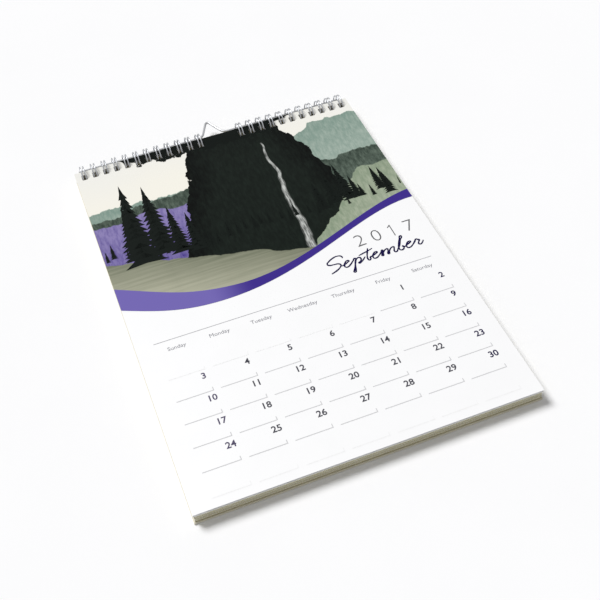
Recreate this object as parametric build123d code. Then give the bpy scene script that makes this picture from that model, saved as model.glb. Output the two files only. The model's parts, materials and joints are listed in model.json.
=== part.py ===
"""Wire-bound wall calendar, lying face up, in millimetres.

The stack of sheets is drawn flat first: X along the bound edge, Y = 0 at that edge with the sheets
towards -Y, Z = 0 at the underside of the back board. The whole calendar is then tipped a little, because
it rests on its loops at the bound edge and on the back board's front edge.
"""
import math
import os

from build123d import *

# Sheets and board
page_width = 225.0
page_height = 318.0
stack_height = 10.0
leaf_thickness = 0.3
board_thickness = 1.5
# The sheets lie loosely, and this gap lets the top leaf turn past the block at the bound edge
leaf_gap = 0.8
# The block's upper sheets stand a little further out than the ones below them
upper_sheets = 1.2
lower_inset = 0.6

# Twin-loop binding, three loops to the inch
loop_pitch = 25.4 / 3
edge_margin = 2.0
open_places = 3
loop_inner_diameter = 14.3
loop_wire = 1.0
wire_spacing = 2.4
bend_radius = 1.0
closure_gap = 0.2
loop_inset = 1.7
board_lift = 0.55
spine_angle = -50.0

# A comb has many loops, so its round wire has eight flats here, and its arcs are short straight runs
wire_sides = 8
ring_runs = 24
bend_runs = 3
tip_runs = 4

# Punched holes
hole_end_clearance = 0.25
hole_side_clearance = 0.35
hole_corner = 0.4

# Hanger
hanger_wire = 1.8
hanger_gap = 0.3
hanger_angle = 3.0
arm_inset = 4.0
hump_shift = 0.5
hump_height = 16.4
flank_angle = 65.0
peak_radius = 1.8
foot_radius = 6.5

# Loop circle, seen along X
ring_radius = (loop_inner_diameter + loop_wire) / 2
ring_inside = loop_inner_diameter / 2
ring_outside = ring_inside + loop_wire
ring_y = -loop_inset
ring_z = ring_inside - board_lift

# Loop places along the bound edge: as many as it takes, with some left open for the hanger's hump
place_count = int((page_width - 2 * edge_margin) / loop_pitch)
left_loops = (place_count - open_places + 1) // 2
places = [(i - (place_count - 1) / 2) * loop_pitch for i in range(place_count)]
left_places = places[:left_loops]
right_places = places[left_loops + open_places:]


def ring_point(x, angle, forward=0.0):
    """Point on the loop circle, moved forward along the circle's tangent."""
    a = math.radians(angle)
    y = ring_y + ring_radius * math.cos(a) - forward * math.sin(a)
    z = ring_z + ring_radius * math.sin(a) + forward * math.cos(a)
    return Vector(x, y, z)


def closure_length():
    """Length of circle left open, so that a loop's rounded tip clears the bends at its own base."""
    diagonal = bend_radius * math.sqrt(0.5)
    sideways = wire_spacing / 2 + bend_radius - diagonal
    apart = wire_spacing / 2 + loop_wire + closure_gap
    return math.sqrt(apart**2 - sideways**2) + diagonal


def twin_loop():
    """One loop at x = 0: up round one wire, over the tip and back, between half runs of the spine."""
    half = wire_spacing / 2
    start = spine_angle
    end = start + 360 - math.degrees(closure_length() / ring_radius)
    rising = [ring_point(-loop_pitch / 2, start, -bend_radius)]
    for i in range(bend_runs + 1):
        turn = math.radians(90 * i / bend_runs)
        x = -half - bend_radius * (1 - math.sin(turn))
        rising.append(ring_point(x, start, -bend_radius * math.cos(turn)))
    for i in range(1, ring_runs + 1):
        rising.append(ring_point(-half, start + (end - start) * i / ring_runs))
    for i in range(1, tip_runs // 2):
        turn = math.radians(180 * i / tip_runs)
        rising.append(ring_point(-half * math.cos(turn), end, half * math.sin(turn)))
    falling = [Vector(-point.X, point.Y, point.Z) for point in reversed(rising)]
    route = Polyline(*rising, ring_point(0, end, half), *falling)
    outward = ring_point(0, start) - ring_point(0, start + 180)
    start_plane = Plane(origin=rising[0], x_dir=outward, z_dir=(1, 0, 0))
    section = start_plane * RegularPolygon(loop_wire / 2, wire_sides)
    return sweep(section, path=route, transition=Transition.RIGHT)


def wire_comb(loop_places):
    """A continuous wire bent into one twin loop at each place, joined by its spine."""
    loop = twin_loop()
    loops = [loop.moved(Location((x, 0, 0))) for x in loop_places]
    return loops[0].fuse(*loops[1:])


def punched_sheet(bottom, top, inset=0.0):
    """A sheet between two heights, punched for every loop and inset at its three free edges."""
    near_end = ring_y - ring_outside - hole_end_clearance
    chord = math.sqrt(ring_inside**2 - ring_z**2)
    far_end = ring_y - chord + hole_end_clearance
    hole_width = wire_spacing + loop_wire + 2 * hole_side_clearance
    hole = RectangleRounded(hole_width, far_end - near_end, hole_corner)
    hole_y = (near_end + far_end) / 2
    length = page_height - inset
    outline = Pos(0, -length / 2) * Rectangle(page_width - 2 * inset, length)
    for x in left_places + right_places:
        outline -= Pos(x, hole_y) * hole
    return Pos(0, 0, bottom) * extrude(outline, amount=top - bottom)


def hanger():
    """One bent wire: straight arms inside the loops and a bell-shaped hump for a nail."""
    reach = ring_inside - hanger_wire / 2 - hanger_gap
    arm_y = ring_y + reach * math.cos(math.radians(hanger_angle))
    arm_z = ring_z + reach * math.sin(math.radians(hanger_angle))
    slope = math.radians(flank_angle)
    apex = hump_height + peak_radius * (1 / math.cos(slope) - 1)
    foot = apex / math.tan(slope)
    arm_end = page_width / 2 - arm_inset
    corners = [
        (-arm_end, arm_y, arm_z),
        (hump_shift - foot, arm_y, arm_z),
        (hump_shift, arm_y + apex, arm_z),
        (hump_shift + foot, arm_y, arm_z),
        (arm_end, arm_y, arm_z),
    ]
    route = FilletPolyline(*corners, radius=[foot_radius, peak_radius, foot_radius])
    section = Plane(origin=route @ 0, z_dir=route % 0) * Circle(hanger_wire / 2)
    return sweep(section, path=route)


def resting_tilt():
    """Angle that sets the loops down beside the back board's front edge."""
    along = page_height + ring_y
    return math.degrees(math.asin(ring_outside / math.hypot(along, ring_z)) - math.atan2(ring_z, along))


def calendar():
    """All pieces by name, tipped to their rest and centred over the origin."""
    leaf_bottom = stack_height - leaf_thickness
    block_top = leaf_bottom - leaf_gap
    ledge = block_top - upper_sheets
    pieces = {
        "back_board": punched_sheet(0, board_thickness),
        "page_block": punched_sheet(board_thickness, ledge, lower_inset) + punched_sheet(ledge, block_top),
        "top_leaf": punched_sheet(leaf_bottom, stack_height),
        "wire_comb_left": wire_comb(left_places),
        "wire_comb_right": wire_comb(right_places),
        "hanger": hanger(),
    }
    front_edge = Axis((0, -page_height, 0), (1, 0, 0))
    pieces = {name: piece.rotate(front_edge, resting_tilt()) for name, piece in pieces.items()}
    boxes = [piece.bounding_box() for piece in pieces.values()]
    middle_x = (min(box.min.X for box in boxes) + max(box.max.X for box in boxes)) / 2
    middle_y = (min(box.min.Y for box in boxes) + max(box.max.Y for box in boxes)) / 2
    return {name: piece.moved(Location((-middle_x, -middle_y, 0))) for name, piece in pieces.items()}


os.makedirs("parts", exist_ok=True)
for name, piece in calendar().items():
    export_step(piece, f"parts/{name}.step")
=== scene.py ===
"""Looks of a wire-bound wall calendar lying face up, in metres, in the same frame as its solids."""

import json
import math
import random

import bmesh
import bpy
from bpy.props import FloatProperty, FloatVectorProperty, IntProperty, PointerProperty
from mathutils import Matrix, Vector


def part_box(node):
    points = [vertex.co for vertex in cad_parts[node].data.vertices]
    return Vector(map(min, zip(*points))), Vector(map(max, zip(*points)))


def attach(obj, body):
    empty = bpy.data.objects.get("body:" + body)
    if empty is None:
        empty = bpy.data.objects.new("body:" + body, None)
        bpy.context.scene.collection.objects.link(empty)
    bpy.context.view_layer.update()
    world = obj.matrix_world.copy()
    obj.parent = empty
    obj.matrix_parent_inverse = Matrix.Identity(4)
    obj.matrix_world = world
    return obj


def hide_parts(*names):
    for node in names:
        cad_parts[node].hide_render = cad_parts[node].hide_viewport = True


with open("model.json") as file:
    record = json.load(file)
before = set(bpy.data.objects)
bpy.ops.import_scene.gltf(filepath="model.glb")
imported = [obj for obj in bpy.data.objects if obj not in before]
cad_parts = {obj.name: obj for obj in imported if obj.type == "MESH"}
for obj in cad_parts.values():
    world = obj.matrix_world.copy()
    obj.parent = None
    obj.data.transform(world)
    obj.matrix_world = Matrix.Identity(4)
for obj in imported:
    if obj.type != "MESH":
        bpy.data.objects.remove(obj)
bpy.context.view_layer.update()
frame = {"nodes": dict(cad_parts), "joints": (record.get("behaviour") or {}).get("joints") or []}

bl_info = {
    "name": "Wall calendar",
    "version": (1, 0, 0),
    "blender": (4, 5, 0),
    "location": "View3D > Sidebar > Calendar",
    "description": "Paper, print, wires and stage of a wire-bound wall calendar",
    "category": "Object",
}

MM = 0.001
BLOCK_BODY = "block_and_wires"
LEAF_BODY = "top_leaf"

# Where the solids lie
LEAF_LOW, LEAF_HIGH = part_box("top_leaf")
BLOCK_LOW, BLOCK_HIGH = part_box("page_block")
COMB_BOXES = {name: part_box(name) for name in ("wire_comb_left", "wire_comb_right")}
LOOPS_IN_COMB = {"wire_comb_left": 12, "wire_comb_right": 11}
PAGE_WIDTH = LEAF_HIGH.x - LEAF_LOW.x
PAGE_HEIGHT = LEAF_HIGH.y - LEAF_LOW.y
LOOP_AXIS = Vector(next(j["pos_m"] for j in frame["joints"] if j["name"] == "top_leaf_turn"))

# Camera of the photograph
CAMERA_PLACE = Vector((-0.1291, -0.4671, 0.5079))
CAMERA_TURN = (41.72, 3.28, -20.72)
CAMERA_LENS = 59.8

WEEKDAYS = ("Sunday", "Monday", "Tuesday", "Wednesday", "Thursday", "Friday", "Saturday")

# Brush script: each letter's advance and its pen stroke, in millimetres up from the baseline
SCRIPT = {
    "S": (9.4, [
        (12.7, 9.2), (12.5, 11.2), (9.8, 12.5), (6.5, 11.9), (2.8, 10.0), (0.7, 7.9), (1.5, 6.5),
        (4.8, 5.8), (8.2, 5.2), (9.2, 3.7), (7.8, 1.7), (4.8, -0.2), (1.9, -1.3), (0.2, -1.9),
    ]),
    "O": (11.4, [
        (9.5, 10.6), (6.0, 11.8), (2.0, 8.8), (0.8, 4.2), (3.0, 0.3), (6.8, 0.4), (10.2, 4.6),
        (10.6, 9.2), (8.2, 11.4),
    ]),
    "b": (4.6, [
        (0.0, 2.1), (2.1, 4.6), (5.0, 9.6), (7.0, 12.3), (6.5, 13.0), (4.6, 10.4), (2.3, 6.2),
        (0.8, 2.5), (1.1, 0.3), (2.7, 0.0), (4.3, 1.7), (4.0, 3.3),
    ]),
    "c": (6.2, [
        (0.0, 2.3), (2.5, 3.0), (5.2, 4.4), (4.6, 5.6), (2.7, 4.4), (1.5, 2.1), (1.9, 0.3),
        (3.6, 0.0),
    ]),
    "e": (8.8, [
        (0.0, 2.3), (2.5, 3.0), (5.0, 4.2), (6.2, 5.2), (5.0, 5.7), (3.1, 4.3), (1.8, 2.1),
        (2.1, 0.3), (3.6, 0.0), (6.2, 1.5),
    ]),
    "m": (12.1, [
        (0.0, 3.8), (1.4, 5.3), (0.6, 3.2), (-0.4, 0.2), (1.3, 2.9), (3.9, 5.0), (5.2, 5.0),
        (4.9, 3.3), (4.1, 0.2), (5.8, 2.7), (8.3, 5.0), (9.9, 5.0), (9.6, 3.3), (8.8, 1.0),
        (9.6, -0.1),
    ]),
    "o": (6.8, [
        (3.9, 5.3), (2.0, 4.2), (1.2, 1.9), (2.1, 0.1), (4.1, 0.8), (5.2, 3.2), (4.2, 5.2),
        (5.2, 4.4),
    ]),
    "p": (9.2, [
        (0.0, 3.8), (2.3, 5.5), (1.2, 2.5), (-0.4, -1.3), (-2.3, -4.6), (-3.2, -6.0), (-2.3, -6.5),
        (-1.2, -4.6), (0.0, -0.8), (1.2, 2.1), (3.3, 4.8), (5.2, 5.3), (6.0, 4.0), (5.0, 1.7),
        (3.2, 0.3), (5.4, 0.9), (7.9, 2.9), (9.4, 4.3),
    ]),
    "r": (6.5, [
        (0.0, 3.8), (2.1, 5.7), (2.8, 4.6), (3.6, 4.5), (2.5, 2.5), (1.8, 0.7), (2.8, -0.1),
        (4.6, 1.0), (6.2, 2.9),
    ]),
    "t": (3.3, [
        (4.8, 11.0), (3.3, 7.9), (1.7, 4.2), (1.1, 1.7), (1.8, 0.0), (3.0, 0.9),
    ]),
}
# Letters before which the pen is lifted, the bar of the t, the pen's radius and where a word starts
PEN_LIFTS = "SOt"
CROSS_BAR = [(-3.5, 6.9), (0.0, 7.7), (4.2, 8.7), (7.7, 9.8)]
SCRIPT_PEN = 0.58
SCRIPT_START = (142.0, -174.7)

# Year, as each numeral's middle, its baseline and size, and the outline of its plain numeral one
YEAR_MIDDLES = (("2", 172.2), ("0", 184.7), ("7", 209.8))
YEAR_BASELINE = -160.0
YEAR_SIZE = 16.6
YEAR_WEIGHT = -0.3
NUMERAL_ONE = [
    (197.6, -160), (197.6, -148.5), (197.0, -148.5), (194.8, -150.6),
    (195.2, -151.1), (196.9, -149.7), (196.9, -160),
]

# Grid of days in millimetres, with places as x from the left edge and y up from the bound edge
COLUMN = 29.13
DATE_ROW = 18.55
MARK_ROW = 18.28
CELLS = 6 * len(WEEKDAYS)
FIRST_NAME = (26.0, -197.1)
FIRST_DATE = (35.3, -208.8)
FIRST_MARK = (13.6, -220.4)
NAME_SIZE = 4.4
DATE_SIZE = 6.6
DATE_WEIGHT = 0.14
MARK_LENGTH = 24.5
MARK_HEIGHT = 2.4
MARK_PEN = 0.6
RULE = (12.4, -188.4, 199.0, 0.5)

# Picture: blur of a printed edge, sway of a flank and of a stream, in millimetres, and the gloss of ink
PRINT_BLUR = 0.8
FLANK_SWAY = 11.0
STREAM_BEND = 8.0
INK_GLOSS = 0.05

# Conifers: half their width and a tier's height are shares of a tree's height, the rest is in millimetres
TIERS = 15
TREE_SPREAD = 0.19
TIER_HEIGHT = 0.13
LOWEST_FOOT = -114.0
TREE_MARGIN = 1.0

# Coming sheets, in millimetres: the air between them, how much narrower than the leaf they are,
# and how unevenly they were knocked up
GAP_UNDER_UPPER = 0.45
BUNCH_SLACK = 0.3
CLING_GAP = 0.02
NARROWER = 0.24
SIDE_SHIFTS = (0.02, 0.22)
UPPER_FRONT = 0.1
LOWER_FRONT = 0.2
# A corner this near to a sheet's edge moves with that edge
AT_AN_EDGE = 1.0
# Finishes of the coming sheets, in the order of their materials; the pale edge is a painted light line on
# each bunch's first sheet, and the khaki edge is partly the lower sheets' own tone and partly painted shade
PAPER_FACE, CREAM_EDGE, PAINTED_LIGHT_EDGE, KHAKI_EDGE_AND_PAINTED_SHADE = range(4)

# Twin loops: where the spine stands on the circle, and how many straight runs draw an arc and a bend
SPINE_ANGLE = -50.0
RING_RUNS = 56
BEND_RUNS = 6
TIP_RUNS = 8
# The drawn wire's radius is less than the solids' by this, in millimetres, so that it stays in their box
WIRE_SLACK = 0.002

# Light: the sun's place, angle and energy, the sky's strength as light, and what gloss adds to it
SUN_PLACE = (-0.45, 0.62, 1.0)
SUN_ANGLE = 26
SUN_ENERGY = 2.72
SKY_FILL = 0.32
SKY_GLOSS = 0.42

# Floor: how far it reaches each way, in metres, and how little it lies under the calendar, in millimetres
FLOOR_REACH = 6.0
FLOOR_DROP = 0.05


def linear(hex_colour):
    """An sRGB hex value as linear red, green, blue and alpha."""
    parts = [int(hex_colour[i:i + 2], 16) / 255 for i in (1, 3, 5)]
    return (*[c / 12.92 if c <= 0.04045 else ((c + 0.055) / 1.055) ** 2.4 for c in parts], 1.0)


def colour(name, hex_value, description):
    """A colour property whose default is an sRGB hex value."""
    return FloatVectorProperty(
        name=name, description=description, subtype="COLOR", size=4, min=0, max=1, default=linear(hex_value)
    )


def length(name, millimetres, description):
    """A length property given in millimetres."""
    return FloatProperty(
        name=name, description=description, subtype="DISTANCE", unit="LENGTH", precision=5,
        default=millimetres * MM,
    )


class CalendarSizes(bpy.types.PropertyGroup):
    """Sizes of the pieces that the solids leave to the looks."""

    leaf_thickness: length("Leaf thickness", 0.3, "Thickness of a printed sheet")
    ink_step: length("Ink step", 0.04, "Height of a layer of ink above what is under it")
    upper_sheets: length("Upper sheets", 1.2, "Height of the sheets that stand flush with the board")
    lower_inset: length("Lower inset", 0.6, "How far the lower sheets lie inside the upper ones")
    upper_count: IntProperty(name="Upper sheet count", description="Sheets that stand flush", default=3)
    lower_bunches: IntProperty(name="Lower bunches", description="Bunches that lie further in", default=5)
    bunch_sheets: IntProperty(name="Sheets in a bunch", description="Sheets that cling together", default=3)
    loop_wire: length("Loop wire", 1.0, "Diameter of the binding wire")
    loop_inner_diameter: length("Loop inner diameter", 14.3, "Inside diameter of a loop")
    wire_spacing: length("Wire spacing", 2.4, "Distance between the two wires of a loop")
    bend_radius: length("Bend radius", 1.0, "Bend from a loop into the spine of the wire")
    closure: length("Closure", 2.59, "Length of circle left open between a loop's tip and its spine")
    hole_start: length("Hole start", 4.2, "From the bound edge to a hole")
    hole_end: length("Hole end", 10.1, "From the bound edge to the far end of a hole")
    hole_width: length("Hole width", 4.1, "Width of a hole")


class CalendarColours(bpy.types.PropertyGroup):
    """Colours of paper, ink, board and wire."""

    paper: colour("Paper", "#FCFCFD", "Coated face of a sheet")
    cream_edge: colour("Cream edge", "#FCFBEE", "Cut edges of the upper sheets")
    # Painted light: a paler edge on each bunch's first sheet stands for light catching it
    pale_edge: colour("Painted light edge", "#F4EED2", "Cut edge of the first sheet in each bunch")
    # Khaki edges: partly the lower sheets' own darker tone and partly painted shade
    khaki_edge: colour("Khaki edge with painted shade", "#AEA364", "Cut edges of the other lower sheets")
    board: colour("Board", "#E2DDCA", "Greyboard behind the sheets")
    band: colour("Wave", "#3D2D86", "Purple wave under the picture")
    # Painted reflection: the lavender at the wave's left end stands for a lamp's gloss on it
    band_light: colour("Painted reflection on wave", "#7468B2", "Lighter left end of the wave")
    title: colour("Title", "#130B40", "Month in brush script")
    year: colour("Year", "#5C5C5E", "Year in thin numerals")
    names: colour("Weekday names", "#7C7C84", "Names of the days")
    dates: colour("Dates", "#4A4A52", "Numerals of the working days")
    sundays: colour("Sundays", "#565069", "Numerals of the Sundays")
    saturdays: colour("Saturdays", "#1F1A45", "Numerals of the Saturdays")
    marks: colour("Cell marks", "#C9C9CB", "Corner marks of the day cells")
    faint_marks: colour("Faint marks", "#EDEDEE", "Corner marks of the empty cells")
    rule: colour("Rule", "#A9A9AD", "Rule over the weekday names")
    wire: colour("Loop wire", "#BBBDC1", "Silver coat of the binding wire")
    hanger: colour("Hanger wire", "#BCBDC0", "Silver coat of the hanger")


# Placing pieces

def tilt():
    """Angle by which the stack lies off level, because its loops are taller than its sheets."""
    thickness = bpy.context.scene.calendar_sizes.leaf_thickness
    return math.asin((LEAF_HIGH.z - LEAF_LOW.z - thickness) / PAGE_HEIGHT)


def page_face(high):
    """Places page coordinates on a sheet: x from the left edge, y up from the bound edge, z off the face."""
    return Matrix.Translation((LEAF_LOW.x, high.y, high.z)) @ Matrix.Rotation(tilt(), 4, "X")


def loop_places(comb):
    """The pitch of a comb's loops and the middle of each of them."""
    low, high = COMB_BOXES[comb]
    pitch = (high.x - low.x) / LOOPS_IN_COMB[comb]
    return pitch, [low.x + pitch * (i + 0.5) for i in range(LOOPS_IN_COMB[comb])]


def add_piece(name, mesh, materials, body):
    """Links a finished mesh as a piece that rides on a body of the frame."""
    mesh.name = name
    piece = bpy.data.objects.new(name, mesh)
    bpy.context.scene.collection.objects.link(piece)
    for material in materials:
        mesh.materials.append(material)
    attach(piece, body)
    return piece


def refinish(node, material):
    """Gives a solid that stays in view its finish."""
    materials = frame["nodes"][node].data.materials
    materials.clear()
    materials.append(material)


def baked(data, place):
    """Mesh of a text or a curve, with its place applied."""
    holder = bpy.data.objects.new("outline", data)
    bpy.context.scene.collection.objects.link(holder)
    bpy.context.view_layer.update()
    evaluated = holder.evaluated_get(bpy.context.evaluated_depsgraph_get())
    mesh = bpy.data.meshes.new_from_object(evaluated)
    bpy.data.objects.remove(holder)
    mesh.transform(place)
    return mesh


def finished(bm, name):
    """The mesh of a bmesh, which is freed."""
    mesh = bpy.data.meshes.new(name)
    bm.to_mesh(mesh)
    bm.free()
    return mesh


def joined(meshes):
    """One mesh made of several."""
    bm = bmesh.new()
    for mesh in meshes:
        bm.from_mesh(mesh)
        bpy.data.meshes.remove(mesh)
    return finished(bm, "joined")


def filled_outline(splines, place):
    """Flat mesh inside closed outlines. A spline is a list of points, each with its two handles."""
    curve = bpy.data.curves.new("outline", "CURVE")
    curve.dimensions = "2D"
    curve.fill_mode = "BOTH"
    curve.resolution_u = 24
    for points in splines:
        spline = curve.splines.new("BEZIER")
        spline.bezier_points.add(len(points) - 1)
        spline.use_cyclic_u = True
        for target, (before, at, after) in zip(spline.bezier_points, points):
            target.handle_left = (*before, 0)
            target.co = (*at, 0)
            target.handle_right = (*after, 0)
    return facing_up(baked(curve, Matrix.Identity(4)), place)


def facing_up(mesh, place):
    """Turns the faces of a flat mesh towards its reader, then sets it in place."""
    bm = bmesh.new()
    bm.from_mesh(mesh)
    bmesh.ops.remove_doubles(bm, verts=bm.verts, dist=1e-7)
    bmesh.ops.reverse_faces(bm, faces=[face for face in bm.faces if face.normal.z < 0])
    bmesh.ops.transform(bm, matrix=place, verts=bm.verts)
    bm.to_mesh(mesh)
    bm.free()
    return mesh


def corner(x, y):
    """A sharp point of an outline, in millimetres."""
    point = (x * MM, y * MM)
    return point, point, point


def smooth(x, y, back, ahead):
    """A rounded point of an outline, in millimetres, with its handles as offsets."""
    before = ((x + back[0]) * MM, (y + back[1]) * MM)
    after = ((x + ahead[0]) * MM, (y + ahead[1]) * MM)
    return before, (x * MM, y * MM), after


def lettering(words, place, size, weight=0.0):
    """Flat mesh of some words. Each entry is a text with the x and y of its baseline, in millimetres."""
    meshes = []
    for text, x, y in words:
        data = bpy.data.curves.new("words", "FONT")
        data.body = text
        data.size = size * MM
        data.offset = weight * MM
        data.resolution_u = 3
        data.align_x = "CENTER"
        meshes.append(facing_up(baked(data, Matrix.Translation((x * MM, y * MM, 0))), place))
    return joined(meshes)


def bars(rectangles, place):
    """Flat mesh of rectangles, each given as left, bottom, width and height in millimetres."""
    bm = bmesh.new()
    for left, bottom, width, height in rectangles:
        middle = Vector((left + width / 2, bottom + height / 2, 0)) * MM
        stretched = Matrix.Translation(middle) @ Matrix.Diagonal((width * MM, height * MM, 1, 1))
        bmesh.ops.create_grid(bm, x_segments=1, y_segments=1, size=0.5, matrix=stretched)
    return facing_up(finished(bm, "bars"), place)


# Materials

def add_node(tree, kind, inputs=None, **settings):
    """Adds a node, sets its properties, and fills its inputs with values or with links."""
    node = tree.nodes.new(kind)
    for name, value in settings.items():
        setattr(node, name, value)
    for key, value in (inputs or {}).items():
        if isinstance(value, bpy.types.NodeSocket):
            tree.links.new(value, node.inputs[key])
        else:
            node.inputs[key].default_value = value
    return node


def new_material(name):
    """An empty node material with its output, and its tree."""
    material = bpy.data.materials.new(name)
    material.use_nodes = True
    material.node_tree.nodes.clear()
    return material, material.node_tree


def finish_material(tree, shader):
    """Joins a shader to the material's output."""
    add_node(tree, "ShaderNodeOutputMaterial", {"Surface": shader.outputs[0]})


def mottled(tree, base, other, grain_mm, detail=3.0):
    """A colour that wanders between two others over grains of a real size, and the noise that drives it."""
    place = add_node(tree, "ShaderNodeTexCoord")
    noise = add_node(tree, "ShaderNodeTexNoise", {
        "Vector": place.outputs["Object"], "Scale": 1 / (grain_mm * MM), "Detail": detail,
    })
    mix = add_node(tree, "ShaderNodeMix", {
        0: noise.outputs["Fac"], 6: tuple(base), 7: tuple(other),
    }, data_type="RGBA")
    return mix.outputs[2], noise.outputs["Fac"]


def shifted(value, amount):
    """A linear colour made lighter or darker by a share."""
    return tuple(min(1.0, c * (1 + amount)) for c in tuple(value)[:3]) + (1.0,)


def coated_paper(name, base):
    """Gloss coated art paper, calendered: white, with a soft sheen and a barely uneven surface."""
    material, tree = new_material(name)
    tone, _ = mottled(tree, base, shifted(base, -0.035), 18)
    place = add_node(tree, "ShaderNodeTexCoord").outputs["Object"]
    # Fibres are drawn coarser than real ones, which would not show
    fibre = add_node(tree, "ShaderNodeTexNoise", {"Vector": place, "Scale": 1 / (0.5 * MM), "Detail": 2.0})
    bump = add_node(tree, "ShaderNodeBump", {
        "Strength": 0.08, "Distance": 0.05 * MM, "Height": fibre.outputs["Fac"],
    })
    shader = add_node(tree, "ShaderNodeBsdfPrincipled", {
        "Base Color": tone, "Roughness": 0.38, "IOR": 1.5, "Normal": bump.outputs[0],
    })
    finish_material(tree, shader)
    return material


def cut_edge(name, base, pitch_mm):
    """Guillotined paper edge: matt, streaked along the cut by the sheets' fibres."""
    material, tree = new_material(name)
    place = add_node(tree, "ShaderNodeTexCoord")
    stretch = add_node(tree, "ShaderNodeMapping", {
        "Vector": place.outputs["Object"], "Scale": (1 / (9 * MM), 1 / (9 * MM), 1 / (pitch_mm * MM)),
    })
    streak = add_node(tree, "ShaderNodeTexNoise", {"Vector": stretch.outputs[0], "Scale": 1.0, "Detail": 4.0})
    tone = add_node(tree, "ShaderNodeMix", {
        0: streak.outputs["Fac"], 6: shifted(base, 0.12), 7: shifted(base, -0.22),
    }, data_type="RGBA")
    shader = add_node(tree, "ShaderNodeBsdfPrincipled", {
        "Base Color": tone.outputs[2], "Roughness": 0.85, "IOR": 1.45,
    })
    finish_material(tree, shader)
    return material


def greyboard(name, base):
    """Greyboard of pressed recycled fibre: matt, flecked, slightly rough to the touch."""
    material, tree = new_material(name)
    tone, grain = mottled(tree, shifted(base, 0.08), shifted(base, -0.2), 1.2, 6.0)
    fleck = add_node(tree, "ShaderNodeTexVoronoi", {
        "Vector": add_node(tree, "ShaderNodeTexCoord").outputs["Object"], "Scale": 1 / (2.5 * MM),
    })
    spot = add_node(tree, "ShaderNodeMapRange", {
        "Value": fleck.outputs["Distance"], 1: 0.05, 2: 0.16, 3: 0.35, 4: 0.0,
    })
    flecked = add_node(tree, "ShaderNodeMix", {
        0: spot.outputs[0], 6: tone, 7: linear("#7D7460"),
    }, data_type="RGBA")
    bump = add_node(tree, "ShaderNodeBump", {"Strength": 0.35, "Distance": 0.1 * MM, "Height": grain})
    shader = add_node(tree, "ShaderNodeBsdfPrincipled", {
        "Base Color": flecked.outputs[2], "Roughness": 0.9, "IOR": 1.45, "Normal": bump.outputs[0],
    })
    finish_material(tree, shader)
    return material


def ink(name, base):
    """Offset ink on coated paper: an even, nearly matt film that varies a little in density."""
    material, tree = new_material(name)
    tone, _ = mottled(tree, base, shifted(base, 0.18), 0.8)
    shader = add_node(tree, "ShaderNodeBsdfPrincipled", {
        "Base Color": tone, "Roughness": 0.36, "IOR": 1.5, "Specular IOR Level": INK_GLOSS,
    })
    finish_material(tree, shader)
    return material


def wave_ink(name, base, light):
    """Purple offset ink, nearly matt: deep on the right, with a painted gloss reflection that lightens it to
    lavender at the left end.
    """
    material, tree = new_material(name)
    place = add_node(tree, "ShaderNodeSeparateXYZ", {
        0: add_node(tree, "ShaderNodeTexCoord").outputs["Object"],
    })
    # Painted reflection: full lavender up to 58 mm from the left edge, fading into the deep purple by 92 mm
    fade = add_node(tree, "ShaderNodeMapRange", {
        "Value": place.outputs["X"], 1: LEAF_LOW.x + 58 * MM, 2: LEAF_LOW.x + 92 * MM, 3: 1.0, 4: 0.0,
    }, interpolation_type="SMOOTHSTEP")
    deep, _ = mottled(tree, base, shifted(base, 0.12), 6)
    tone = add_node(tree, "ShaderNodeMix", {0: fade.outputs[0], 6: deep, 7: tuple(light)}, data_type="RGBA")
    shader = add_node(tree, "ShaderNodeBsdfPrincipled", {
        "Base Color": tone.outputs[2], "Roughness": 0.3, "IOR": 1.5, "Specular IOR Level": INK_GLOSS,
    })
    finish_material(tree, shader)
    return material


def painted_sky(tree, spot, colours):
    """Pale sky that warms towards the horizon, with a little haze."""
    place, _, down = spot
    haze = add_node(tree, "ShaderNodeTexNoise", {"Vector": place, "Scale": 1 / (45 * MM), "Detail": 5.0})
    lift = add_node(tree, "ShaderNodeMath", {
        0: haze.outputs["Fac"], 1: 60.0, 2: down,
    }, operation="MULTIPLY_ADD")
    depth = add_node(tree, "ShaderNodeMapRange", {
        "Value": lift.outputs[0], 1: 20.0, 2: 95.0,
    }, interpolation_type="SMOOTHSTEP")
    return add_node(tree, "ShaderNodeMix", {
        0: depth.outputs[0], 6: linear(colours[0]), 7: linear(colours[1]),
    }, data_type="RGBA").outputs[2]


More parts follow.
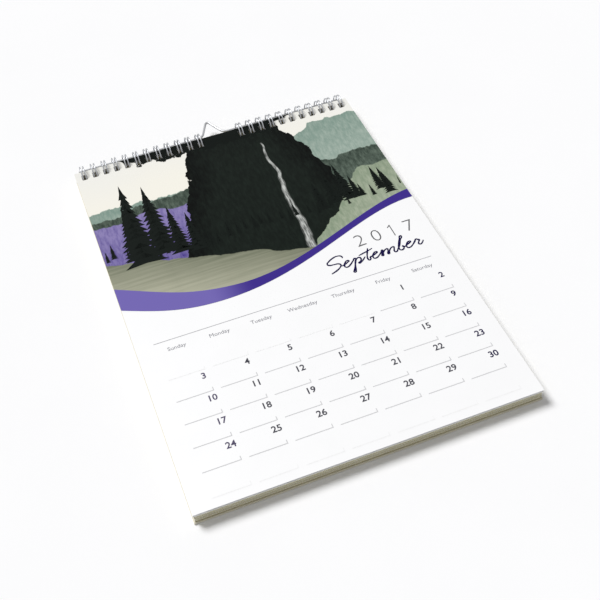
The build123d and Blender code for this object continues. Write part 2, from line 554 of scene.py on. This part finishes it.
def painted_slope(tree, spot, tone, layer, shift, order):
    """A wooded ridge in front of what is already painted, with one hill in it and mist at its foot."""
    place, across, down = spot
    height, swing, width, rise, centre, reach, near, far = layer
    # Each ridge reads another stretch of the same noise, so that no two are alike
    along = add_node(tree, "ShaderNodeMath", {
        0: across, 1: 1 / width, 2: shift + 17.3 * order,
    }, operation="MULTIPLY_ADD")
    ridge = add_node(tree, "ShaderNodeTexNoise", {
        "W": along.outputs[0], "Scale": 1.0, "Detail": 8.0, "Roughness": 0.62,
    }, noise_dimensions="1D")
    crest = add_node(tree, "ShaderNodeMath", {
        0: ridge.outputs["Fac"], 1: -2 * swing, 2: height + swing,
    }, operation="MULTIPLY_ADD")
    ragged = add_node(tree, "ShaderNodeTexNoise", {"Vector": place, "Scale": 1 / (20 * MM), "Detail": 9.0})
    swayed = add_node(tree, "ShaderNodeMath", {
        0: ragged.outputs["Fac"], 1: 2 * FLANK_SWAY, 2: across,
    }, operation="MULTIPLY_ADD")
    offset = add_node(tree, "ShaderNodeMath", {
        0: swayed.outputs[0], 1: centre + FLANK_SWAY,
    }, operation="SUBTRACT")
    away = add_node(tree, "ShaderNodeMath", {0: offset.outputs[0]}, operation="ABSOLUTE")
    hill = add_node(tree, "ShaderNodeMapRange", {
        "Value": away.outputs[0], 1: reach * 0.3, 2: reach, 3: rise, 4: 0.0,
    })
    lowered = add_node(tree, "ShaderNodeMath", {0: down, 1: hill.outputs[0]}, operation="ADD")
    below = add_node(tree, "ShaderNodeMath", {
        0: lowered.outputs[0], 1: crest.outputs[0],
    }, operation="SUBTRACT")
    mask = add_node(tree, "ShaderNodeMapRange", {"Value": below.outputs[0], 1: 0.0, 2: PRINT_BLUR})
    mist = add_node(tree, "ShaderNodeMapRange", {"Value": below.outputs[0], 1: 5.0, 2: 75.0, 4: 0.55})
    woods = add_node(tree, "ShaderNodeMapping", {
        "Vector": place, "Scale": (1 / (2.6 * MM), 1 / (9 * MM), 1.0), "Location": (shift, 3.0 * order, 0.0),
    })
    cover = add_node(tree, "ShaderNodeTexNoise", {
        "Vector": woods.outputs[0], "Scale": 1.0, "Detail": 8.0, "Roughness": 0.7,
    })
    patch = add_node(tree, "ShaderNodeMapRange", {"Value": cover.outputs["Fac"], 1: 0.42, 2: 0.72, 4: 0.6})
    mixed = add_node(tree, "ShaderNodeMath", {
        0: patch.outputs[0], 1: mist.outputs[0],
    }, operation="ADD", use_clamp=True)
    slope = add_node(tree, "ShaderNodeMix", {
        0: mixed.outputs[0], 6: linear(near), 7: linear(far),
    }, data_type="RGBA")
    return add_node(tree, "ShaderNodeMix", {
        0: mask.outputs[0], 6: tone, 7: slope.outputs[2],
    }, data_type="RGBA").outputs[2]


def painted_waterfall(tree, spot, tone, stream):
    """A thin fall of water that widens on its way down and breaks into spray."""
    place, across, down = spot
    source, head, mouth = stream
    bend = add_node(tree, "ShaderNodeTexNoise", {
        "W": down, "Scale": 1 / 40, "Detail": 2.0,
    }, noise_dimensions="1D")
    course = add_node(tree, "ShaderNodeMath", {
        0: bend.outputs["Fac"], 1: -2 * STREAM_BEND, 2: across,
    }, operation="MULTIPLY_ADD")
    apart = add_node(tree, "ShaderNodeMath", {
        0: course.outputs[0], 1: source - STREAM_BEND,
    }, operation="SUBTRACT")
    side = add_node(tree, "ShaderNodeMath", {0: apart.outputs[0]}, operation="ABSOLUTE")
    breadth = add_node(tree, "ShaderNodeMapRange", {"Value": down, 1: head, 2: mouth, 3: 0.8, 4: 3.4})
    ratio = add_node(tree, "ShaderNodeMath", {0: side.outputs[0], 1: breadth.outputs[0]}, operation="DIVIDE")
    white = add_node(tree, "ShaderNodeMapRange", {"Value": ratio.outputs[0], 1: 0.4, 2: 1.0, 3: 0.7, 4: 0.0})
    begun = add_node(tree, "ShaderNodeMapRange", {"Value": down, 1: head, 2: head + 4.0})
    streaks = add_node(tree, "ShaderNodeMapping", {
        "Vector": place, "Scale": (1 / (0.9 * MM), 1 / (8 * MM), 1.0),
    })
    spray = add_node(tree, "ShaderNodeTexNoise", {"Vector": streaks.outputs[0], "Scale": 1.0, "Detail": 5.0})
    thin = add_node(tree, "ShaderNodeMapRange", {
        "Value": spray.outputs["Fac"], 1: 0.36, 2: 0.6, 3: 0.15, 4: 1.0,
    })
    broken = add_node(tree, "ShaderNodeMath", {0: begun.outputs[0], 1: thin.outputs[0]}, operation="MULTIPLY")
    foam = add_node(tree, "ShaderNodeMath", {0: white.outputs[0], 1: broken.outputs[0]}, operation="MULTIPLY")
    return add_node(tree, "ShaderNodeMix", {
        0: foam.outputs[0], 6: tone, 7: linear("#E9ECE8"),
    }, data_type="RGBA").outputs[2]


def painted_lake(tree, spot, tone, water):
    """Rippled water below a wandering shore that rises or falls across the page."""
    place, across, down = spot
    shore, fall, shallow, deep = water
    beach = add_node(tree, "ShaderNodeTexNoise", {
        "W": across, "Scale": 1 / 30, "Detail": 5.0,
    }, noise_dimensions="1D")
    wander = add_node(tree, "ShaderNodeMath", {
        0: beach.outputs["Fac"], 1: -12.0, 2: down,
    }, operation="MULTIPLY_ADD")
    bank = add_node(tree, "ShaderNodeMath", {
        0: across, 1: -fall, 2: wander.outputs[0],
    }, operation="MULTIPLY_ADD")
    waves = add_node(tree, "ShaderNodeMapping", {
        "Vector": place, "Scale": (1 / (60 * MM), 1 / (2.2 * MM), 1.0),
    })
    ripple = add_node(tree, "ShaderNodeTexNoise", {"Vector": waves.outputs[0], "Scale": 1.0, "Detail": 4.0})
    fade = add_node(tree, "ShaderNodeMapRange", {"Value": bank.outputs[0], 1: shore, 2: shore + 45.0})
    sheen = add_node(tree, "ShaderNodeMath", {
        0: ripple.outputs["Fac"], 1: 0.8, 2: fade.outputs[0],
    }, operation="MULTIPLY_ADD")
    level = add_node(tree, "ShaderNodeMath", {
        0: sheen.outputs[0], 1: 0.35,
    }, operation="SUBTRACT", use_clamp=True)
    lake = add_node(tree, "ShaderNodeMix", {
        0: level.outputs[0], 6: linear(deep), 7: linear(shallow),
    }, data_type="RGBA")
    line = add_node(tree, "ShaderNodeMapRange", {
        "Value": bank.outputs[0], 1: shore, 2: shore + PRINT_BLUR,
    })
    return add_node(tree, "ShaderNodeMix", {
        0: line.outputs[0], 6: tone, 7: lake.outputs[2],
    }, data_type="RGBA").outputs[2]


def painted_leaves(tree, spot, tone, shade):
    """Dark leaves that hang in over the picture's top edge, thinning out towards both sides."""
    place, across, down = spot
    leaves = add_node(tree, "ShaderNodeTexNoise", {
        "Vector": place, "Scale": 1 / (11 * MM), "Detail": 6.0, "Roughness": 0.56,
    })
    hung = add_node(tree, "ShaderNodeMath", {
        0: leaves.outputs["Fac"], 1: -36.0, 2: down,
    }, operation="MULTIPLY_ADD")
    moved = add_node(tree, "ShaderNodeMath", {0: across, 1: 10.0}, operation="ADD")
    beyond = add_node(tree, "ShaderNodeMath", {0: moved.outputs[0]}, operation="ABSOLUTE")
    spread = add_node(tree, "ShaderNodeMapRange", {"Value": beyond.outputs[0], 1: 52.0, 2: 84.0, 4: 26.0})
    tips = add_node(tree, "ShaderNodeMath", {0: hung.outputs[0], 1: spread.outputs[0]}, operation="ADD")
    canopy = add_node(tree, "ShaderNodeMapRange", {
        "Value": tips.outputs[0], 1: -6.0, 2: PRINT_BLUR - 6.0, 3: 1.0, 4: 0.0,
    })
    return add_node(tree, "ShaderNodeMix", {
        0: canopy.outputs[0], 6: tone, 7: linear(shade),
    }, data_type="RGBA").outputs[2]


def landscape_print(name, sky, layers, stream, water, shade, shift):
    """Offset colour print of wooded slopes over a lake, painted from the back to the front, nearly matt.

    A layer is its height, swing and width of wave, its hill's rise, centre and reach, and its two colours,
    near and far. The stream is its source, head and mouth, the water its shore, the shore's fall for each
    millimetre across, and its two colours. Heights are millimetres down from the bound edge, and places are
    millimetres across from the middle. The shade colours the leaves, and the shift picks a stretch of noise.
    """
    material, tree = new_material(name)
    place = add_node(tree, "ShaderNodeTexCoord").outputs["Object"]
    axes = add_node(tree, "ShaderNodeSeparateXYZ", {0: place})
    across = add_node(tree, "ShaderNodeMath", {0: axes.outputs["X"], 1: 1 / MM}, operation="MULTIPLY")
    down = add_node(tree, "ShaderNodeMath", {
        0: axes.outputs["Y"], 1: -1 / MM, 2: LEAF_HIGH.y / MM,
    }, operation="MULTIPLY_ADD")
    spot = (place, across.outputs[0], down.outputs[0])
    tone = painted_sky(tree, spot, sky)
    for order, layer in enumerate(layers):
        tone = painted_slope(tree, spot, tone, layer, shift, order)
    tone = painted_waterfall(tree, spot, tone, stream)
    tone = painted_lake(tree, spot, tone, water)
    tone = painted_leaves(tree, spot, tone, shade)
    shader = add_node(tree, "ShaderNodeBsdfPrincipled", {
        "Base Color": tone, "Roughness": 0.3, "IOR": 1.5, "Specular IOR Level": INK_GLOSS,
    })
    finish_material(tree, shader)
    return material


def coated_wire(name, base):
    """Drawn steel wire in a satin silver coat: soft highlights along each bend, grey where it turns away."""
    material, tree = new_material(name)
    tone, grain = mottled(tree, base, shifted(base, -0.15), 1.5)
    rough = add_node(tree, "ShaderNodeMapRange", {"Value": grain, 3: 0.3, 4: 0.42})
    shader = add_node(tree, "ShaderNodeBsdfPrincipled", {
        "Base Color": tone, "Metallic": 1.0, "Roughness": rough.outputs[0],
    })
    finish_material(tree, shader)
    return material


# Printed page

def hole_outlines():
    """Outlines of the punched holes, in page coordinates."""
    sizes = bpy.context.scene.calendar_sizes
    half = sizes.hole_width / 2 / MM
    start, end = -sizes.hole_start / MM, -sizes.hole_end / MM
    outlines = []
    for comb in COMB_BOXES:
        for middle in loop_places(comb)[1]:
            x = (middle - LEAF_LOW.x) / MM
            square = [(x - half, start), (x - half, end), (x + half, end), (x + half, start)]
            outlines.append([corner(*point) for point in square])
    return outlines


def wave_edge(share):
    """Points along the wave, from left to right: share 0 is its upper edge and share 1 its lower edge."""
    width = PAGE_WIDTH / MM
    upper = [
        (0, -130.1, 0, 0, 31.2, -15.9),
        (78, -159.1, -33.9, 3.2, 50.2, -4.8),
        (width, -119.1, -43.7, -5.2, 0, 0),
    ]
    lower = [
        (0, -150.8, 0, 0, 24.7, -11.7),
        (70.1, -169.4, -29.8, -0.2, 61.9, 0.4),
        (width, -128.0, -42.1, 1.2, 0, 0),
    ]
    mixed = [[a + (b - a) * share for a, b in zip(one, other)] for one, other in zip(upper, lower)]
    return [smooth(point[0], point[1], point[2:4], point[4:6]) for point in mixed]


def reverse_edge(points):
    """The same edge, from right to left."""
    return [(after, at, before) for before, at, after in reversed(points)]


def conifers(place, groups, ground, fall, seed):
    """Flat mesh of conifers along a shore, each a stack of drooping tiers.

    A group is a number of trees, the span of the page that they stand on, and the range of their heights.
    The ground is how far down the shore lies at the page's middle, and it falls by a share of the way across.
    """
    chance = random.Random(seed)
    bm = bmesh.new()
    width = PAGE_WIDTH / MM
    total = 0
    for count, (first, last), heights in groups:
        for i in range(count):
            x = width * (first + (last - first) * (i + chance.uniform(0.1, 0.9)) / count)
            foot = max(-ground - fall * (x - width / 2), LOWEST_FOOT) + chance.uniform(-3.0, 4.0)
            height = chance.uniform(*heights)
            for k in range(TIERS):
                share = (k + 1) / TIERS
                half = height * TREE_SPREAD * share ** 0.8 * chance.uniform(0.8, 1.1)
                low = foot + height * (1 - share)
                droop = height * chance.uniform(0.0, 0.02)
                top = low + height * TIER_HEIGHT
                corners = [(x - half, low - droop), (x, low), (x + half, low - droop), (x, top)]
                kept = [
                    (min(max(px, TREE_MARGIN), width - TREE_MARGIN), min(py, -TREE_MARGIN))
                    for px, py in corners
                ]
                # Each tier lies a hair above the last, so that no two share a plane
                total += 1
                bm.faces.new([bm.verts.new((px * MM, py * MM, total * 0.00002 * MM)) for px, py in kept])
    return facing_up(finished(bm, "conifers"), place)


def script_word(word, start, baseline, pen, place):
    """Brush lettering: round strokes, pressed nearly flat, with the pen lifted after some letters."""
    strokes, run, x = [], [], 0.0
    for letter in word:
        advance, points = SCRIPT[letter]
        if letter in PEN_LIFTS and run:
            strokes.append(run)
            run = []
        run += [(x + px, py) for px, py in points]
        if letter == "t":
            strokes.append([(x + px, py) for px, py in CROSS_BAR])
        if letter.isupper():
            strokes.append(run)
            run = []
        x += advance
    strokes.append(run)
    curve = bpy.data.curves.new("strokes", "CURVE")
    curve.dimensions = "3D"
    curve.bevel_depth = pen * MM
    curve.bevel_resolution = 2
    curve.resolution_u = 8
    curve.use_fill_caps = True
    for stroke in strokes:
        spline = curve.splines.new("BEZIER")
        spline.bezier_points.add(len(stroke) - 1)
        for i, (target, (px, py)) in enumerate(zip(spline.bezier_points, stroke)):
            target.co = ((start + px) * MM, (baseline + py) * MM, 0)
            target.handle_left_type = target.handle_right_type = "AUTO"
            # The brush presses now more, now less, and lifts at both ends
            target.radius = 0.7 if i in (0, len(stroke) - 1) else 1.0 + 0.15 * math.sin(2.4 * i)
    flat = Matrix.Diagonal((1, 1, 0.05, 1))
    return baked(curve, place @ flat)


def add_print(name, mesh, material, body):
    """Adds a printed shape as a piece of a sheet."""
    add_piece(name, mesh, [material], body)


def shared_ink(use):
    """One of the inks that the pages share."""
    return bpy.data.materials[f"offset {use} ink"]


def month_page(prefix, high, body, word, first_column, days, picture, trees, tree_ink):
    """Prints a month on a sheet: its picture, wave, year and name, then its grid of days."""
    sizes = bpy.context.scene.calendar_sizes
    face = page_face(high)
    layers = [face @ Matrix.Translation((0, 0, sizes.ink_step * (i + 1))) for i in range(3)]
    outline = [corner(0, 0), *wave_edge(0.5), corner(PAGE_WIDTH / MM, 0)]
    add_print(prefix + "_picture", filled_outline([outline, *hole_outlines()], layers[0]), picture, body)
    add_print(prefix + "_conifers", conifers(layers[1], *trees), tree_ink, body)
    wave = [*wave_edge(0), *reverse_edge(wave_edge(1))]
    add_print(prefix + "_wave", filled_outline([wave], layers[2]), shared_ink("purple"), body)
    numerals = [(numeral, x, YEAR_BASELINE) for numeral, x in YEAR_MIDDLES]
    mesh = lettering(numerals, layers[0], YEAR_SIZE, YEAR_WEIGHT)
    one = filled_outline([[corner(x, y) for x, y in NUMERAL_ONE]], layers[0])
    add_print(prefix + "_year", joined([mesh, one]), shared_ink("grey"), body)
    mesh = script_word(word, *SCRIPT_START, SCRIPT_PEN, layers[0])
    add_print(prefix + "_month", mesh, shared_ink("title"), body)
    day_grid(prefix, body, first_column, days, layers[0])


def day_grid(prefix, body, first_column, days, place):
    """Prints the weekday names under their rule, the dates and the corner marks of the cells."""
    names = [(name, FIRST_NAME[0] + COLUMN * i, FIRST_NAME[1]) for i, name in enumerate(WEEKDAYS)]
    add_print(prefix + "_weekday_names", lettering(names, place, NAME_SIZE), shared_ink("name"), body)
    groups = {"dates": [], "sundays": [], "saturdays": []}
    for day in range(1, days + 1):
        row, column = divmod(first_column + day - 1, len(WEEKDAYS))
        group = {0: "sundays", 6: "saturdays"}.get(column, "dates")
        groups[group].append((str(day), FIRST_DATE[0] + COLUMN * column, FIRST_DATE[1] - DATE_ROW * row))
    for group, words in groups.items():
        mesh = lettering(words, place, DATE_SIZE, DATE_WEIGHT)
        add_print(f"{prefix}_{group}", mesh, shared_ink(group), body)
    add_print(prefix + "_rule", bars([RULE], place), shared_ink("rule"), body)
    marks = {"marks": [], "faint_marks": []}
    for cell in range(CELLS):
        row, column = divmod(cell, len(WEEKDAYS))
        left, low = FIRST_MARK[0] + COLUMN * column, FIRST_MARK[1] - MARK_ROW * row
        kind = "marks" if first_column <= cell < first_column + days else "faint_marks"
        marks[kind].append((left, low, MARK_LENGTH, MARK_PEN))
        marks[kind].append((left + MARK_LENGTH - MARK_PEN, low + MARK_PEN, MARK_PEN, MARK_HEIGHT))
    for kind, rectangles in marks.items():
        add_print(f"{prefix}_{kind}", bars(rectangles, place), shared_ink(kind), body)


# Wires

def loop_point(x, angle, forward=0.0):
    """A point on the circle of the loops, moved forward along the circle's tangent."""
    sizes = bpy.context.scene.calendar_sizes
    radius = (sizes.loop_inner_diameter + sizes.loop_wire) / 2
    a = math.radians(angle) + tilt()
    y = LOOP_AXIS.y + radius * math.cos(a) - forward * math.sin(a)
    z = LOOP_AXIS.z + radius * math.sin(a) + forward * math.cos(a)
    return Vector((x, y, z))


def loop_route(middle, pitch):
    """Centre line of one twin loop with its two half runs of spine."""
    sizes = bpy.context.scene.calendar_sizes
    half, bend = sizes.wire_spacing / 2, sizes.bend_radius
    radius = (sizes.loop_inner_diameter + sizes.loop_wire) / 2
    end = SPINE_ANGLE + 360 - math.degrees(sizes.closure / radius)
    rising = [(-pitch / 2, SPINE_ANGLE, -bend)]
    for i in range(BEND_RUNS + 1):
        turn = math.radians(90 / BEND_RUNS * i)
        rising.append((-half - bend * (1 - math.sin(turn)), SPINE_ANGLE, -bend * math.cos(turn)))
    for i in range(1, RING_RUNS + 1):
        rising.append((-half, SPINE_ANGLE + (end - SPINE_ANGLE) * i / RING_RUNS, 0))
    for i in range(1, TIP_RUNS // 2):
        turn = math.radians(180 / TIP_RUNS * i)
        rising.append((-half * math.cos(turn), end, half * math.sin(turn)))
    falling = [(-x, angle, forward) for x, angle, forward in reversed(rising)]
    route = [*rising, (0, end, half), *falling]
    return [loop_point(middle + x, angle, forward) for x, angle, forward in route]


def comb_mesh(name):
    """One continuous wire bent into twin loops."""
    pitch, middles = loop_places(name)
    points = []
    for middle in middles:
        route = loop_route(middle, pitch)
        points += route[1:] if points else route
    curve = bpy.data.curves.new(name, "CURVE")
    curve.dimensions = "3D"
    curve.bevel_depth = bpy.context.scene.calendar_sizes.loop_wire / 2 - WIRE_SLACK * MM
    curve.bevel_resolution = 3
    curve.use_fill_caps = True
    spline = curve.splines.new("POLY")
    spline.points.add(len(points) - 1)
    for target, point in zip(spline.points, points):
        target.co = (*point, 1)
    mesh = baked(curve, Matrix.Identity(4))
    mesh.shade_smooth()
    return mesh


# Sheets

def flat_sheet():
    """The top leaf's own form in page coordinates, as the pattern for each coming sheet."""
    bm = bmesh.new()
    bm.from_mesh(frame["nodes"]["top_leaf"].data)
    bmesh.ops.remove_doubles(bm, verts=bm.verts, dist=1e-6)
    bmesh.ops.transform(bm, matrix=page_face(LEAF_HIGH).inverted(), verts=bm.verts)
    return finished(bm, "sheet")


def coming_sheet_tops():
    """Each coming sheet's top, down from the first one's, with its inset and the finish of its edges."""
    sizes = bpy.context.scene.calendar_sizes
    depth = (BLOCK_HIGH.z - BLOCK_LOW.z) - PAGE_HEIGHT * math.sin(tilt())
    lower = depth - sizes.upper_sheets
    tops = [
        (-sizes.upper_sheets * i / sizes.upper_count, 0.0, CREAM_EDGE) for i in range(sizes.upper_count)
    ]
    bunch = (lower - BUNCH_SLACK * MM) / sizes.lower_bunches
    step = sizes.leaf_thickness + CLING_GAP * MM
    for i in range(sizes.lower_bunches):
        for k in range(sizes.bunch_sheets):
            top = -sizes.upper_sheets - bunch * i - GAP_UNDER_UPPER * MM - k * step
            # The first sheet of each bunch gets a painted light line on its edge; the others get a khaki edge
            # that is partly their own tone and partly painted shade
            tops.append((top, sizes.lower_inset, KHAKI_EDGE_AND_PAINTED_SHADE if k else PAINTED_LIGHT_EDGE))
    return tops


def coming_sheets_mesh():
    """Separate sheets of the coming months: upper ones flush, lower ones a little further in."""
    upper_count = bpy.context.scene.calendar_sizes.upper_count
    block = page_face(BLOCK_HIGH)
    chance = random.Random(7)
    source = flat_sheet()
    total = bmesh.new()
    for index, (top, inset, edge_tone_with_painted_light) in enumerate(coming_sheet_tops()):
        first = len(total.faces)
        total.from_mesh(source)
        total.verts.ensure_lookup_table()
        total.faces.ensure_lookup_table()
        fresh = total.faces[first:]
        verts = {v for f in fresh for v in f.verts}
        side = chance.uniform(*SIDE_SHIFTS) * MM
        front = chance.uniform(0.0, UPPER_FRONT if index < upper_count else LOWER_FRONT) * MM
        for v in verts:
            if v.co.x < AT_AN_EDGE * MM:
                v.co.x += inset + side
            if v.co.x > PAGE_WIDTH - AT_AN_EDGE * MM:
                v.co.x -= inset + NARROWER * MM - side
            if v.co.y < -PAGE_HEIGHT + AT_AN_EDGE * MM:
                v.co.y += inset + front
            v.co.z += top
        for f in fresh:
            # Side faces take their edge tone, which holds painted light or painted shade on the lower sheets
            f.material_index = edge_tone_with_painted_light if abs(f.normal.z) < 0.5 else PAPER_FACE
        for v in verts:
            v.co = block @ v.co
    bpy.data.meshes.remove(source)
    return finished(total, "coming_sheets")


# Operators

class CALENDAR_OT_finishes(bpy.types.Operator):
    """Makes the papers, inks and wire finishes that the pieces share."""

    bl_idname = "calendar.finishes"
    bl_label = "Papers and inks"

    def execute(self, context):
        shades = context.scene.calendar_colours
        coated_paper("gloss coated paper", shades.paper)
        cut_edge("cut cream paper edge", shades.cream_edge, 0.25)
        # The pale edge is a painted light line, and the khaki edge is partly painted shade; both are copies
        # of one cut paper edge
        cut_edge("cut paper edge with painted light", shades.pale_edge, 0.3)
        cut_edge("cut khaki paper edge with painted shade", shades.khaki_edge, 0.3)
        # The wave's lavender left end is a painted reflection
        wave_ink("offset purple ink", shades.band, shades.band_light)
        inks = {
            "title": shades.title, "grey": shades.year, "name": shades.names, "dates": shades.dates,
            "sundays": shades.sundays, "saturdays": shades.saturdays, "marks": shades.marks,
            "faint_marks": shades.faint_marks, "rule": shades.rule,
        }
        for use, base in inks.items():
            ink(f"offset {use} ink", base)
        coated_wire("silver nylon coated wire", shades.wire)
        coated_wire("silver coated hanger wire", shades.hanger)
        return {"FINISHED"}


class CALENDAR_OT_top_leaf(bpy.types.Operator):
    """Papers the top leaf and prints its month."""

    bl_idname = "calendar.top_leaf"
    bl_label = "Top leaf"

    def execute(self, context):
        refinish("top_leaf", bpy.data.materials["gloss coated paper"])
        picture = landscape_print(
            "offset lake print", sky=("#F0EFEA", "#F6F3E8"),
            layers=[
                (52.0, 12.0, 62.0, 34.0, 100.0, 90.0, "#7F968B", "#B4C1B6"),
                (62.0, 9.0, 34.0, 8.0, -45.0, 60.0, "#36423A", "#7C8B7E"),
                (150.0, 8.0, 48.0, 84.0, -75.0, 170.0, "#8F84B6", "#3A2B80"),
                (150.0, 10.0, 26.0, 190.0, 14.0, 76.0, "#020303", "#1A221D"),
                (150.0, 6.0, 30.0, 68.0, 112.0, 84.0, "#87967F", "#BAC1AC"),
            ],
            stream=(30.0, 24.0, 140.0), water=(132, 0.3, "#B7B7A2", "#777B68"), shade="#0B110E", shift=3.1,
        )
        groups = [(34, (0.0, 1.0), (7, 16)), (5, (0.06, 0.34), (38, 84)), (6, (0.7, 0.98), (18, 40))]
        forest = ink("offset forest ink", linear("#0E1411"))
        month_page(
            "september", LEAF_HIGH, LEAF_BODY, "September", first_column=5, days=30,
            picture=picture, trees=(groups, 137, 0.3, 16), tree_ink=forest,
        )
        return {"FINISHED"}


class CALENDAR_OT_coming_sheets(bpy.types.Operator):
    """Stacks the coming months' sheets and prints the next month on the first of them."""

    bl_idname = "calendar.coming_sheets"
    bl_label = "Coming sheets"

    def execute(self, context):
        materials = bpy.data.materials
        finishes = [
            materials["gloss coated paper"], materials["cut cream paper edge"],
            materials["cut paper edge with painted light"], materials["cut khaki paper edge with painted shade"],
        ]
        piece = add_piece("coming_sheets", coming_sheets_mesh(), finishes, BLOCK_BODY)
        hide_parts("page_block")
        picture = landscape_print(
            "offset moor print", sky=("#E9DCC8", "#F6EAD2"),
            layers=[
                (50.0, 18.0, 75.0, 10.0, -60.0, 70.0, "#B08A6A", "#E0CDB2"),
                (68.0, 16.0, 45.0, 30.0, -90.0, 80.0, "#7A5A45", "#C29F7C"),
                (90.0, 12.0, 26.0, 40.0, 60.0, 90.0, "#33241D", "#6B4D3A"),
            ],
            stream=(-40.0, 60.0, 120.0), water=(112, 0.1, "#D9C6A8", "#57463A"), shade="#2A1D18", shift=41.7,
        )
        groups = [(30, (0.0, 1.0), (10, 24)), (8, (0.0, 1.0), (34, 66))]
        heath = ink("offset heath ink", linear("#2A1D18"))
        month_page(
            "october", BLOCK_HIGH, BLOCK_BODY, "October", first_column=0, days=31,
            picture=picture, trees=(groups, 117, 0.1, 42), tree_ink=heath,
        )
        return {"FINISHED"}


class CALENDAR_OT_back_board(bpy.types.Operator):
    """Gives the back board its pressed grey fibre."""

    bl_idname = "calendar.back_board"
    bl_label = "Back board"

    def execute(self, context):
        refinish("back_board", greyboard("pressed greyboard", context.scene.calendar_colours.board))
        return {"FINISHED"}


class CALENDAR_OT_wires(bpy.types.Operator):
    """Bends the two binding wires round and smooth, and coats them and the hanger."""

    bl_idname = "calendar.wires"
    bl_label = "Wires and hanger"

    def execute(self, context):
        materials = bpy.data.materials
        for name in COMB_BOXES:
            wire = materials["silver nylon coated wire"]
            piece = add_piece(name + "_wire", comb_mesh(name), [wire], BLOCK_BODY)
            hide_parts(name)
        refinish("hanger", materials["silver coated hanger wire"])
        return {"FINISHED"}


class CALENDAR_OT_stage(bpy.types.Operator):
    """Sets the white floor, the soft light and the photograph's camera."""

    bl_idname = "calendar.stage"
    bl_label = "Stage"

    def execute(self, context):
        bm = bmesh.new()
        under = Matrix.Translation((0, 0, -FLOOR_DROP * MM))
        bmesh.ops.create_grid(bm, x_segments=1, y_segments=1, size=FLOOR_REACH, matrix=under)
        mesh = finished(bm, "floor")
        floor = bpy.data.objects.new("floor", mesh)
        context.scene.collection.objects.link(floor)
        # Painted matt: an even white without any mirrored light
        material, tree = new_material("matt white table")
        tone, _ = mottled(tree, linear("#FDFDFE"), linear("#FAFAFB"), 90)
        shader = add_node(tree, "ShaderNodeBsdfPrincipled", {
            "Base Color": tone, "Roughness": 0.9, "Specular IOR Level": 0.1,
        })
        finish_material(tree, shader)
        mesh.materials.append(material)

        world = bpy.data.worlds.new("studio")
        world.use_nodes = True
        tree = world.node_tree
        tree.nodes.clear()
        rays = add_node(tree, "ShaderNodeLightPath")
        seen = add_node(tree, "ShaderNodeMath", {
            0: rays.outputs["Is Camera Ray"], 1: rays.outputs["Is Transmission Ray"],
        }, operation="MAXIMUM")
        shown = add_node(tree, "ShaderNodeMapRange", {"Value": seen.outputs[0], 3: SKY_FILL, 4: 1.0})
        level = add_node(tree, "ShaderNodeMath", {
            0: rays.outputs["Is Glossy Ray"], 1: SKY_GLOSS, 2: shown.outputs[0],
        }, operation="MULTIPLY_ADD")
        light = add_node(tree, "ShaderNodeBackground", {
            "Color": linear("#FFFFFF"), "Strength": level.outputs[0],
        })
        add_node(tree, "ShaderNodeOutputWorld", {"Surface": light.outputs[0]})
        context.scene.world = world

        lamp = bpy.data.lights.new("soft_sun", "SUN")
        lamp.angle = math.radians(SUN_ANGLE)
        lamp.energy = SUN_ENERGY
        holder = bpy.data.objects.new("soft_sun", lamp)
        holder.location = SUN_PLACE
        holder.rotation_mode = "QUATERNION"
        holder.rotation_quaternion = (Vector((0, 0, 0)) - holder.location).to_track_quat("-Z", "Y")
        context.scene.collection.objects.link(holder)

        lens = bpy.data.cameras.new("camera")
        lens.lens = CAMERA_LENS
        camera = bpy.data.objects.new("camera", lens)
        camera.location = CAMERA_PLACE
        camera.rotation_euler = [math.radians(angle) for angle in CAMERA_TURN]
        lens.clip_start, lens.clip_end = 0.01, 50.0
        context.scene.collection.objects.link(camera)
        context.scene.camera = camera
        context.scene.view_settings.view_transform = "Standard"
        return {"FINISHED"}


OPERATORS = (
    CALENDAR_OT_finishes,
    CALENDAR_OT_top_leaf,
    CALENDAR_OT_coming_sheets,
    CALENDAR_OT_back_board,
    CALENDAR_OT_wires,
    CALENDAR_OT_stage,
)


class CALENDAR_PT_pieces(bpy.types.Panel):
    """Lists the calendar's pieces in the sidebar."""

    bl_label = "Wall calendar"
    bl_idname = "CALENDAR_PT_pieces"
    bl_space_type = "VIEW_3D"
    bl_region_type = "UI"
    bl_category = "Calendar"

    def draw(self, context):
        for operator in OPERATORS:
            self.layout.operator(operator.bl_idname)


CLASSES = (CalendarSizes, CalendarColours, *OPERATORS, CALENDAR_PT_pieces)


def register():
    """Registers the classes and hangs the sizes and colours on the scene."""
    for item in CLASSES:
        bpy.utils.register_class(item)
    bpy.types.Scene.calendar_sizes = PointerProperty(type=CalendarSizes)
    bpy.types.Scene.calendar_colours = PointerProperty(type=CalendarColours)


def unregister():
    """Takes the sizes, the colours and the classes away again."""
    del bpy.types.Scene.calendar_colours
    del bpy.types.Scene.calendar_sizes
    for item in reversed(CLASSES):
        bpy.utils.unregister_class(item)


def main():
    """Builds every piece in order."""
    register()
    bpy.ops.calendar.finishes()
    bpy.ops.calendar.top_leaf()
    bpy.ops.calendar.coming_sheets()
    bpy.ops.calendar.back_board()
    bpy.ops.calendar.wires()
    bpy.ops.calendar.stage()


if __name__ == "__main__":
    main()
